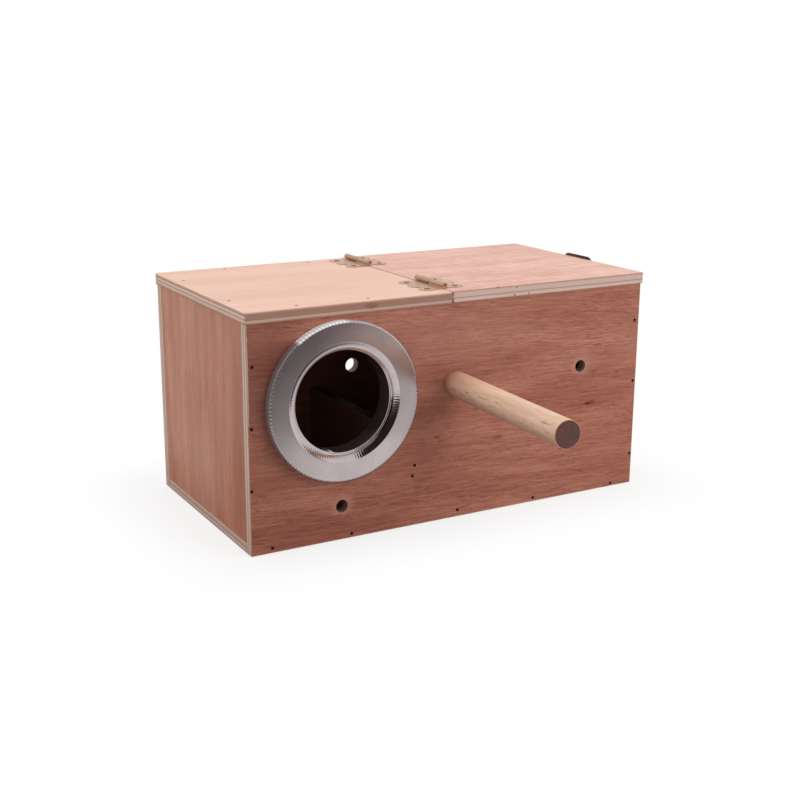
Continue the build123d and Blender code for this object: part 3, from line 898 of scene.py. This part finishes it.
# Darker and paler stretches, painted shadow, worn places and knots, in millimetres along the grain and
# across it
FRONT_MARKS_AND_SHADE = (
    # Darker stretch towards the wall's left end
    Mark(-103.0, 78.0, 18.0, 42.0, "#6a3e31", 0.58, 0.3, 0.9),
    # Painted shadow of the perch, left of and below its root
    Mark(-18.0, 50.0, 16.0, 22.0, "#743f31", 0.42, 0.4, 0.9),
    Mark(-8.0, 74.0, 12.0, 10.0, "#743f31", 0.16, 0.4, 0.9),
    Mark(-10.0, 96.0, 44.0, 14.0, "#cf9c8c", 0.22, 0.4, 0.9),
    Mark(88.0, 42.0, 30.0, 40.0, "#9c4a34", 0.14, 0.3, 0.9),
    Mark(83.6, 50.2, 3.6, 1.0, "#7a3220", 0.75, 0.6, 0.5),
    Mark(82.6, 50.0, 1.2, 0.6, "#4a1c10", 0.85, 0.5, 0.5),
    Mark(-12.2, 44.8, 1.6, 0.8, "#6f3a2c", 0.6, 0.8, 0.6),
    Mark(24.6, 39.6, 3.0, 1.2, "#773e30", 0.55, 0.8, 0.7),
    Mark(-66.5, 17.3, 5.0, 4.6, "#c9998a", 0.62, 0.7, 0.6),
    Mark(76.6, 71.6, 5.2, 4.7, "#c9998a", 0.62, 0.7, 0.6),
    Mark(79.5, 76.8, 6.0, 2.6, "#c39180", 0.3, 0.6, 0.9),
    Mark(-115.0, 88.0, 0.7, 26.0, "#d5b3a1", 0.8, 0.7, 0.2),
)
LEFT_MARKS_AND_SHADE = (
    Mark(55.0, -49.0, 48.0, 9.0, "#92543c", 0.6, 0.3, 0.9),
    Mark(24.0, 6.0, 20.0, 26.0, "#d3a594", 0.34, 0.3, 0.9),
    Mark(98.0, 8.0, 18.0, 26.0, "#d3a594", 0.16, 0.3, 0.9),
    # Painted shadow: a dark line along the top of the left side, under the lid's overhang
    Mark(112.9, -30.0, 0.55, 26.0, "#5d2c20", 0.75, 0.9, 0.3),
)


@dataclass
class Case:
    """The boards of the box and the nails that hold them."""

    edge: float = 0.22

    def build(self) -> None:
        """Make every board of the case and dress the nails."""
        along, through, up = Axis
        red, pale = (RED_VENEER, WALL_PLIES), (SIDE_VENEER, WALL_PLIES)
        boards = {
            "front_panel": Plywood("front_plywood", through, False, along, *red, 1.7, FRONT_MARKS_AND_SHADE),
            "back_panel": Plywood("back_plywood", through, True, along, *pale, 23.1, inner_shade=0.5),
            "left_side_panel": Plywood("left_side_plywood", along, False, up, *pale, 41.3, LEFT_MARKS_AND_SHADE),
            "right_side_panel": Plywood("right_side_plywood", along, True, up, *pale, 57.9, inner_shade=0.5),
            "floor_panel": Plywood("floor_plywood", up, False, along, *pale, 67.2),
            "nest_board": Plywood("nest_board_plywood", along, False, up, INNER_SHADED_VENEER, INNER_SHADED_PLIES, 83.6),
        }
        lay_boards(boards, self.edge)
        nail = Hardware("nail_metal", "#120907", "#22110c", "#40251c", 0.0, 0.75, 0.8, 0.15).made()
        for node in ("front_nails", "back_nails", "lid_nails"):
            dress(frame["nodes"][node], nail)


@dataclass
class Roof:
    """The two boards on top."""

    edge: float = 0.14

    def build(self) -> None:
        """Make both boards and dress them."""
        blotch = Mark(-50.4, 2.8, 3.2, 1.3, "#8d5a48", 0.55, 0.6, 0.6)
        places = (21.7, 0.2, 0.7, 0.3), (33.3, 1.1, 0.6, 0.3), (32.2, 4.9, 0.7, 0.35), (40.8, 4.8, 0.6, 0.3)
        specks = tuple(Mark(*place, "#5d3427", 0.9, 0.4) for place in places)
        fixed = Plywood(
            "fixed_lid_plywood", Axis.HEIGHT, True, Axis.LENGTH, PEACH_VENEER, FIXED_PLIES, 5.5,
            worn="#fbe3d2", wear=0.6, front_specks=(blotch,)
        )
        hinged = Plywood(
            "hinged_lid_plywood", Axis.HEIGHT, True, Axis.LENGTH, PINK_VENEER, HINGED_PLIES, 9.4,
            worn="#f6d8c8", wear=0.5, front_specks=specks
        )
        lay_boards({"fixed_lid": fixed, "hinged_lid": hinged}, self.edge)


@dataclass
class Entrance:
    """The turned ring in the front wall and the collar that clamps it from inside, in millimetres."""

    outer: float = 39.9
    proud: float = 4.8
    heel: Pair = (0.25, 0.2)
    round_edge: Pairs = ((0.0, 0.9), (0.1, 0.5), (0.34, 0.18), (0.7, 0.04), (1.1, 0.0))
    flute: float = 0.08
    face_inner: float = 29.7
    lip: Pair = (0.12, 0.05)
    cove_foot: float = 26.85
    cove_foot_proud: float = 3.4
    cove_sag: float = 0.1
    cove_wall: float = 0.15
    ledge_proud: float = 2.3
    ledge: float = 26.0
    ledge_step: float = 0.5
    bore_ease: float = 0.05
    bore: float = 25.4
    sleeve: float = 27.2
    sleeve_depth: float = 8.1
    collar_edge: float = 0.15
    segments: int = 400
    cove_steps: int = 7
    smooth_deg: float = 28.0

    def stations(self) -> Pairs:
        """List the ring's rings of points as radius and height above the wall.

        Returns:
            The stations, from the back of the sleeve round the outside to the bore.
        """
        rim, top = self.outer, self.proud
        (heel_in, heel_up), (lip_out, lip_down) = self.heel, self.lip
        points = [(self.sleeve, -self.sleeve_depth), (self.sleeve, 0.0)]
        points += [(rim - heel_in, 0.0), (rim, heel_up)]
        points += [(rim - inwards, top - down) for inwards, down in self.round_edge]
        points.append((self.face_inner + lip_out, top))
        run, rise = self.face_inner - self.cove_foot, top - self.cove_foot_proud
        chord = math.hypot(run, rise)
        for step in range(self.cove_steps + 1):
            share = step / self.cove_steps
            sag = 4 * self.cove_sag * share * (1 - share)
            radius = self.face_inner - run * share + sag * rise / chord
            height = top - rise * share - sag * run / chord
            points.append((radius, height - (0.0 if step else lip_down)))
        low = self.ledge_proud - self.ledge_step
        points += [(self.cove_foot - self.cove_wall, self.ledge_proud), (self.ledge, self.ledge_proud)]
        points += [(self.ledge - self.bore_ease, low), (self.bore, low), (self.bore, -self.sleeve_depth)]
        return points

    def build(self) -> None:
        """Turn the ring, and finish the collar."""
        low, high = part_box("entrance_ring")
        middle = Vector(((low.x + high.x) / 2, low.y + self.proud * MM, (low.z + high.z) / 2))
        place = Matrix.Translation(middle) @ Matrix.Rotation(math.pi / 2, 4, "X")
        ring = turned("entrance_ring_turned", self.stations(), self.segments, place, True, self.flute)
        shade(ring, self.smooth_deg)
        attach(ring, Body.BOX.value)
        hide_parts("entrance_ring")
        cove = (self.cove_foot, self.face_inner)
        metal = TurnedMetal("turned_aluminium", middle, cove, self.outer).made()
        dress(ring, metal)
        dress(softened("ring_collar", self.collar_edge), metal)


@dataclass
class Perch:
    """The dowel and its screw, in millimetres.

    The wobble gives how much thinner the dowel is at each height, the end's ease the same back from its
    end, and the end's dish how far back its face lies at each radius.
    """

    left_of_middle: float = 1.6
    height: float = 71.4
    radius: float = 6.6
    length: float = 105.5
    lean_left: float = 4.8
    lean_up: float = 1.4
    wobble: Pairs = ((-4.0, 0.0), (6.0, 0.0), (22.0, 0.03), (40.0, 0.0), (61.0, 0.05), (82.0, 0.02))
    end_ease: Pairs = ((0.35, 0.03), (0.1, 0.16), (0.0, 0.42))
    end_dish: Pairs = ((4.4, 0.04), (1.9, 0.0))
    segments: int = 72
    smooth_deg: float = 40.0
    off_wall: float = 0.01
    screw_radius: float = 1.75
    screw_reach: float = 21.0
    screw_edge: float = 0.12

    def place(self) -> Matrix:
        """Give the frame of the dowel, its root on the front wall and its own Z along it."""
        root = Matrix.Translation(Vector((-self.left_of_middle, CASE_FRONT, self.height)) * MM)
        lifted = Matrix.Rotation(-math.radians(self.lean_up), 4, "X")
        lean = lifted @ Matrix.Rotation(-math.radians(self.lean_left), 4, "Z")
        return root @ lean @ Matrix.Rotation(math.pi / 2, 4, "X")

    def build(self) -> None:
        """Turn the dowel, saw its root flush with the wall and bore it for the screw."""
        full, end = self.radius, self.length
        stations = [(full - thinner, height) for height, thinner in self.wobble]
        stations += [(full - thinner, end - back) for back, thinner in self.end_ease]
        stations += [(radius, end - back) for radius, back in self.end_dish]
        dowel = turned("perch_turned", stations, self.segments, self.place(), False)
        only(dowel)
        bpy.ops.object.mode_set(mode="EDIT")
        bpy.ops.mesh.select_all(action="SELECT")
        wall = (0, (CASE_FRONT - self.off_wall) * MM, 0)
        bpy.ops.mesh.bisect(plane_co=wall, plane_no=(0, 1, 0), use_fill=True, clear_outer=True)
        bpy.ops.object.mode_set(mode="OBJECT")
        for face in dowel.data.polygons:
            face.select = face.normal.y > 0.9
        bpy.ops.object.mode_set(mode="EDIT")
        bpy.ops.mesh.select_mode(type="FACE")
        bpy.ops.mesh.inset(thickness=(full - self.screw_radius) * MM, depth=0)
        inward = self.place().to_3x3() @ Vector((0, 0, self.screw_reach * MM))
        bpy.ops.mesh.extrude_region_move(TRANSFORM_OT_translate={"value": tuple(inward)})
        bpy.ops.mesh.select_all(action="SELECT")
        bpy.ops.mesh.normals_make_consistent(inside=False)
        bpy.ops.object.mode_set(mode="OBJECT")
        shade(dowel, self.smooth_deg)
        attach(dowel, Body.BOX.value)
        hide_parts("perch")
        dress(dowel, Dowel("beech_dowel", self.place(), self.length).made())
        screw = Hardware("perch_screw_metal", "#4a3a33", "#6b5850", "#93806f", 0.85, 0.4, 1.5).made()
        dress(softened("perch_screw", self.screw_edge), screw)


@dataclass
class Hinges:
    """The two scalloped hinges, their pins and their screws."""

    edge: float = 0.12
    screw_edge: float = 0.08
    barrel_from: float = 119.75

    def build(self) -> None:
        """Finish the leaves, the pins and the screws."""
        leaf = Hardware(
            "antique_brass", "#8e6c55", "#c09b83", "#debaa3", 0.7, 0.45, 1.6, crown_from=self.barrel_from
        ).made()
        pin = Hardware("copper_pin", "#6a4636", "#a3765d", "#c79a80", 0.9, 0.35, 0.8).made()
        screw = Hardware("bronzed_screw", "#3a2018", "#593729", "#835a48", 0.1, 0.65, 0.7, 0.12).made()
        for end in ("front", "rear"):
            for side in ("fixed_leaf", "lid_leaf"):
                dress(softened(f"{end}_hinge_{side}", self.edge), leaf)
            dress(softened(f"{end}_hinge_pin", self.edge), pin)
        for node in ("fixed_hinge_screws", "lid_hinge_screws"):
            dress(softened(node, self.screw_edge), screw)


@dataclass
class Latch:
    """The toggle latch on the right end: plates, pin, lever, loop and nails."""

    edge: float = 0.12
    wire_edge: float = 0.05

    def build(self) -> None:
        """Finish every part of the latch."""
        # Partly a dark brass and partly painted shade: much darker than the hinges' brass, for the shade at
        # the box's right end
        plate = Hardware("brass_dark_and_shaded", "#1f1512", "#38271f", "#6b5345", 0.8, 0.42, 2.0).made()
        wire = Hardware("dark_wire", "#4a3a2c", "#6d5743", "#9a8064", 0.9, 0.34, 1.5).made()
        nail = Hardware("latch_nail_metal", "#2d221d", "#4a3a32", "#735f52", 0.75, 0.45, 0.7).made()
        for node in ("latch_catch_plate", "latch_base_plate", "latch_lever", "latch_pin"):
            dress(softened(node, self.edge), plate)
        dress(softened("latch_loop", self.wire_edge, 1), wire)
        for node in ("latch_catch_nails", "latch_base_nails"):
            dress(frame["nodes"][node], nail)


@dataclass(frozen=True)
class Lamp:
    """A soft lamp: where it hangs, what it looks at, how wide it is and how much light it gives."""

    name: str
    place: Spot
    aim: Spot
    size: float
    power: float
    tint: str = "#ffffff"

    def hang(self) -> None:
        """Make the lamp."""
        light = bpy.data.lights.new(self.name, "AREA")
        light.shape = "SQUARE"
        light.size = self.size
        light.energy = self.power
        light.color = paint(self.tint)[:3]
        lamp = bpy.data.objects.new(self.name, light)
        bpy.context.scene.collection.objects.link(lamp)
        lamp.visible_glossy = False
        lamp.location = self.place
        lamp.rotation_euler = (Vector(self.aim) - Vector(self.place)).to_track_quat("-Z", "Y").to_euler()


@dataclass
class Studio:
    """The pale floor, the white surroundings, the lamps and the camera.

    The shaded and unlit stretches of the floor, the camera's place and its lens are in millimetres, other
    lengths are in metres and angles in radians.
    """

    reach: float = 12.0
    sunk: float = 0.0004
    shadow_fade: Pair = (2.0, 60.0)
    least_white: float = 0.75
    unlit: str = "#5f5557"
    unlit_round_case: Pair = (75.0, 20.0)
    unlit_outward: Pair = (150.0, 245.0)
    unlit_sideways: Pair = (-90.0, -30.0)
    unlit_everywhere: Pair = (330.0, 370.0)
    to_photographer: Pair = (-0.724, -0.69)
    flag_place: Spot = (-0.75, -1.3, 0.62)
    flag_size: Spot = (2.1, 1.2, 1.0)
    fill: float = 0.42
    camera_place: Spot = (-331.68, -583.22, 232.19)
    yaw: float = 0.5172
    pitch: float = 0.2676
    roll: float = 0.0058
    lens: float = 56.911
    lamps: tuple[Lamp, ...] = (
        Lamp("overhead_lamp", (0.05, 0.1, 1.3), (0.0, 0.0, 0.1), 1.3, 7.4),
        Lamp("left_lamp", (-1.3, 0.1, 0.6), (0.0, 0.0, 0.06), 0.9, 4.4),
        Lamp("front_lamp", (0.6, -0.9, 0.65), (0.06, 0.0, 0.06), 0.8, 4.6),
    )

    @staticmethod
    def ray(web: Web, kind: str) -> Field:
        """Tell whether a ray is of one kind."""
        return web.node("ShaderNodeLightPath", None, None, f"Is {kind} Ray")

    @staticmethod
    def blend(web: Web, factor: Field, first: Field, second: Field) -> Field:
        """Mix two shaders, with the factor as the share of the second."""
        return web.node("ShaderNodeMixShader", None, {0: factor, 1: first, 2: second})

    def lay_floor(self) -> None:
        """Lay the pale floor: plain white to look at, with the box's shadow close round it.

        Polished metal sees it unlit close round the box and further out towards the photographer.
        """
        bpy.ops.object.select_all(action="DESELECT")
        bpy.ops.mesh.primitive_plane_add(size=self.reach, location=(0, 0, -self.sunk))
        floor = bpy.context.active_object
        floor.name = "studio_floor"
        web = Web("pale_floor")
        side, depth, _ = web.place()
        grain = web.noise((side / 3, depth / 3, 0.0))
        colour = web.ramp(grain, (0.3, "#fbfafa"), (0.7, "#ffffff"))
        seen = web.node("ShaderNodeBsdfDiffuse", None, {"Color": colour})
        lit = web.node("ShaderNodeBsdfDiffuse", None, {"Color": "#c4bfbc"})
        glow = web.node("ShaderNodeEmission", None, {"Color": "#ffffff"})
        past_end = (abs(side) - CASE_HALF_LENGTH).most(0.0)
        past_front = (abs(depth) + CASE_FRONT).most(0.0)
        beside = (past_end**2 + past_front**2).root()
        white = beside.rise(*self.shadow_fade) * (1 - self.least_white) + self.least_white
        near = self.blend(web, white, seen, glow)
        outward = side * self.to_photographer[0] + depth * self.to_photographer[1]
        unlit = web.node("ShaderNodeEmission", None, {"Color": self.unlit})
        dark = outward.rise(*self.unlit_outward) * side.rise(*self.unlit_sideways)
        dark = dark.most(outward.rise(*self.unlit_everywhere)).most(beside.rise(*self.unlit_round_case))
        mirrored = self.blend(web, dark, glow, unlit)
        whole = self.blend(web, self.ray(web, "Camera"), lit, near)
        whole = self.blend(web, self.ray(web, "Glossy"), whole, mirrored)
        whole = self.blend(web, self.ray(web, "Transmission"), whole, glow)
        web.node("ShaderNodeOutputMaterial", None, {"Surface": whole})
        floor.data.materials.append(web.owner)

    def hang_flag(self) -> None:
        """Hang the dark cloth behind the photographer, which only polished metal sees."""
        bpy.ops.object.select_all(action="DESELECT")
        bpy.ops.mesh.primitive_plane_add(size=1.0, location=self.flag_place, rotation=(math.pi / 2, 0, 0))
        flag = bpy.context.active_object
        flag.name = "studio_flag"
        flag.scale = self.flag_size
        for view in ("visible_camera", "visible_diffuse", "visible_shadow", "visible_transmission"):
            setattr(flag, view, False)
        web = Web("dark_cloth")
        side, _, up = web.place()
        weave = web.noise((side / 4, 0.0, up / 4))
        colour = web.ramp(weave, (0.3, "#2a2325"), (0.7, "#3a3133"))
        dark = web.node("ShaderNodeEmission", None, {"Color": colour})
        web.node("ShaderNodeOutputMaterial", None, {"Surface": dark})
        flag.data.materials.append(web.owner)

    def light_world(self) -> None:
        """Make the surroundings white to look at and plain to be lit by."""
        web = Web("studio_world", "worlds")
        bpy.context.scene.world = web.owner
        soft = web.node("ShaderNodeBackground", None, {"Color": "#ffffff", "Strength": self.fill})
        white = web.node("ShaderNodeBackground", None, {"Color": "#ffffff"})
        mirrored = self.ray(web, "Glossy").most(self.ray(web, "Transmission"))
        both = self.blend(web, self.ray(web, "Camera").most(mirrored), soft, white)
        web.node("ShaderNodeOutputWorld", None, {"Surface": both})

    def set_camera(self) -> None:
        """Stand the camera where the photograph was taken from."""
        ahead = Vector((math.sin(self.yaw), math.cos(self.yaw), 0.0))
        forward = ahead * math.cos(self.pitch) - Vector((0.0, 0.0, math.sin(self.pitch)))
        level = Vector((math.cos(self.yaw), -math.sin(self.yaw), 0.0))
        over = level.cross(forward)
        right = level * math.cos(self.roll) + over * math.sin(self.roll)
        up = over * math.cos(self.roll) - level * math.sin(self.roll)
        turn = Matrix((right, up, -forward)).transposed()
        camera = bpy.data.objects.new("photo_camera", bpy.data.cameras.new("photo_camera"))
        bpy.context.scene.collection.objects.link(camera)
        camera.data.sensor_width = 36.0
        camera.data.lens = self.lens
        camera.data.clip_start = 0.01
        camera.matrix_world = Matrix.Translation(Vector(self.camera_place) * MM) @ turn.to_4x4()
        bpy.context.scene.camera = camera

    def build(self) -> None:
        """Set up the whole studio."""
        self.lay_floor()
        self.hang_flag()
        self.light_world()
        for lamp in self.lamps:
            lamp.hang()
        self.set_camera()
        bpy.context.scene.view_settings.view_transform = "Standard"


def main() -> None:
    """Build the studio and every piece of the box in order."""
    logging.basicConfig(level=logging.INFO, format="%(name)s: %(message)s")
    Studio().build()
    for part in (Case(), Roof(), Entrance(), Perch(), Hinges(), Latch()):
        part.build()


if __name__ == "__main__":
    main()
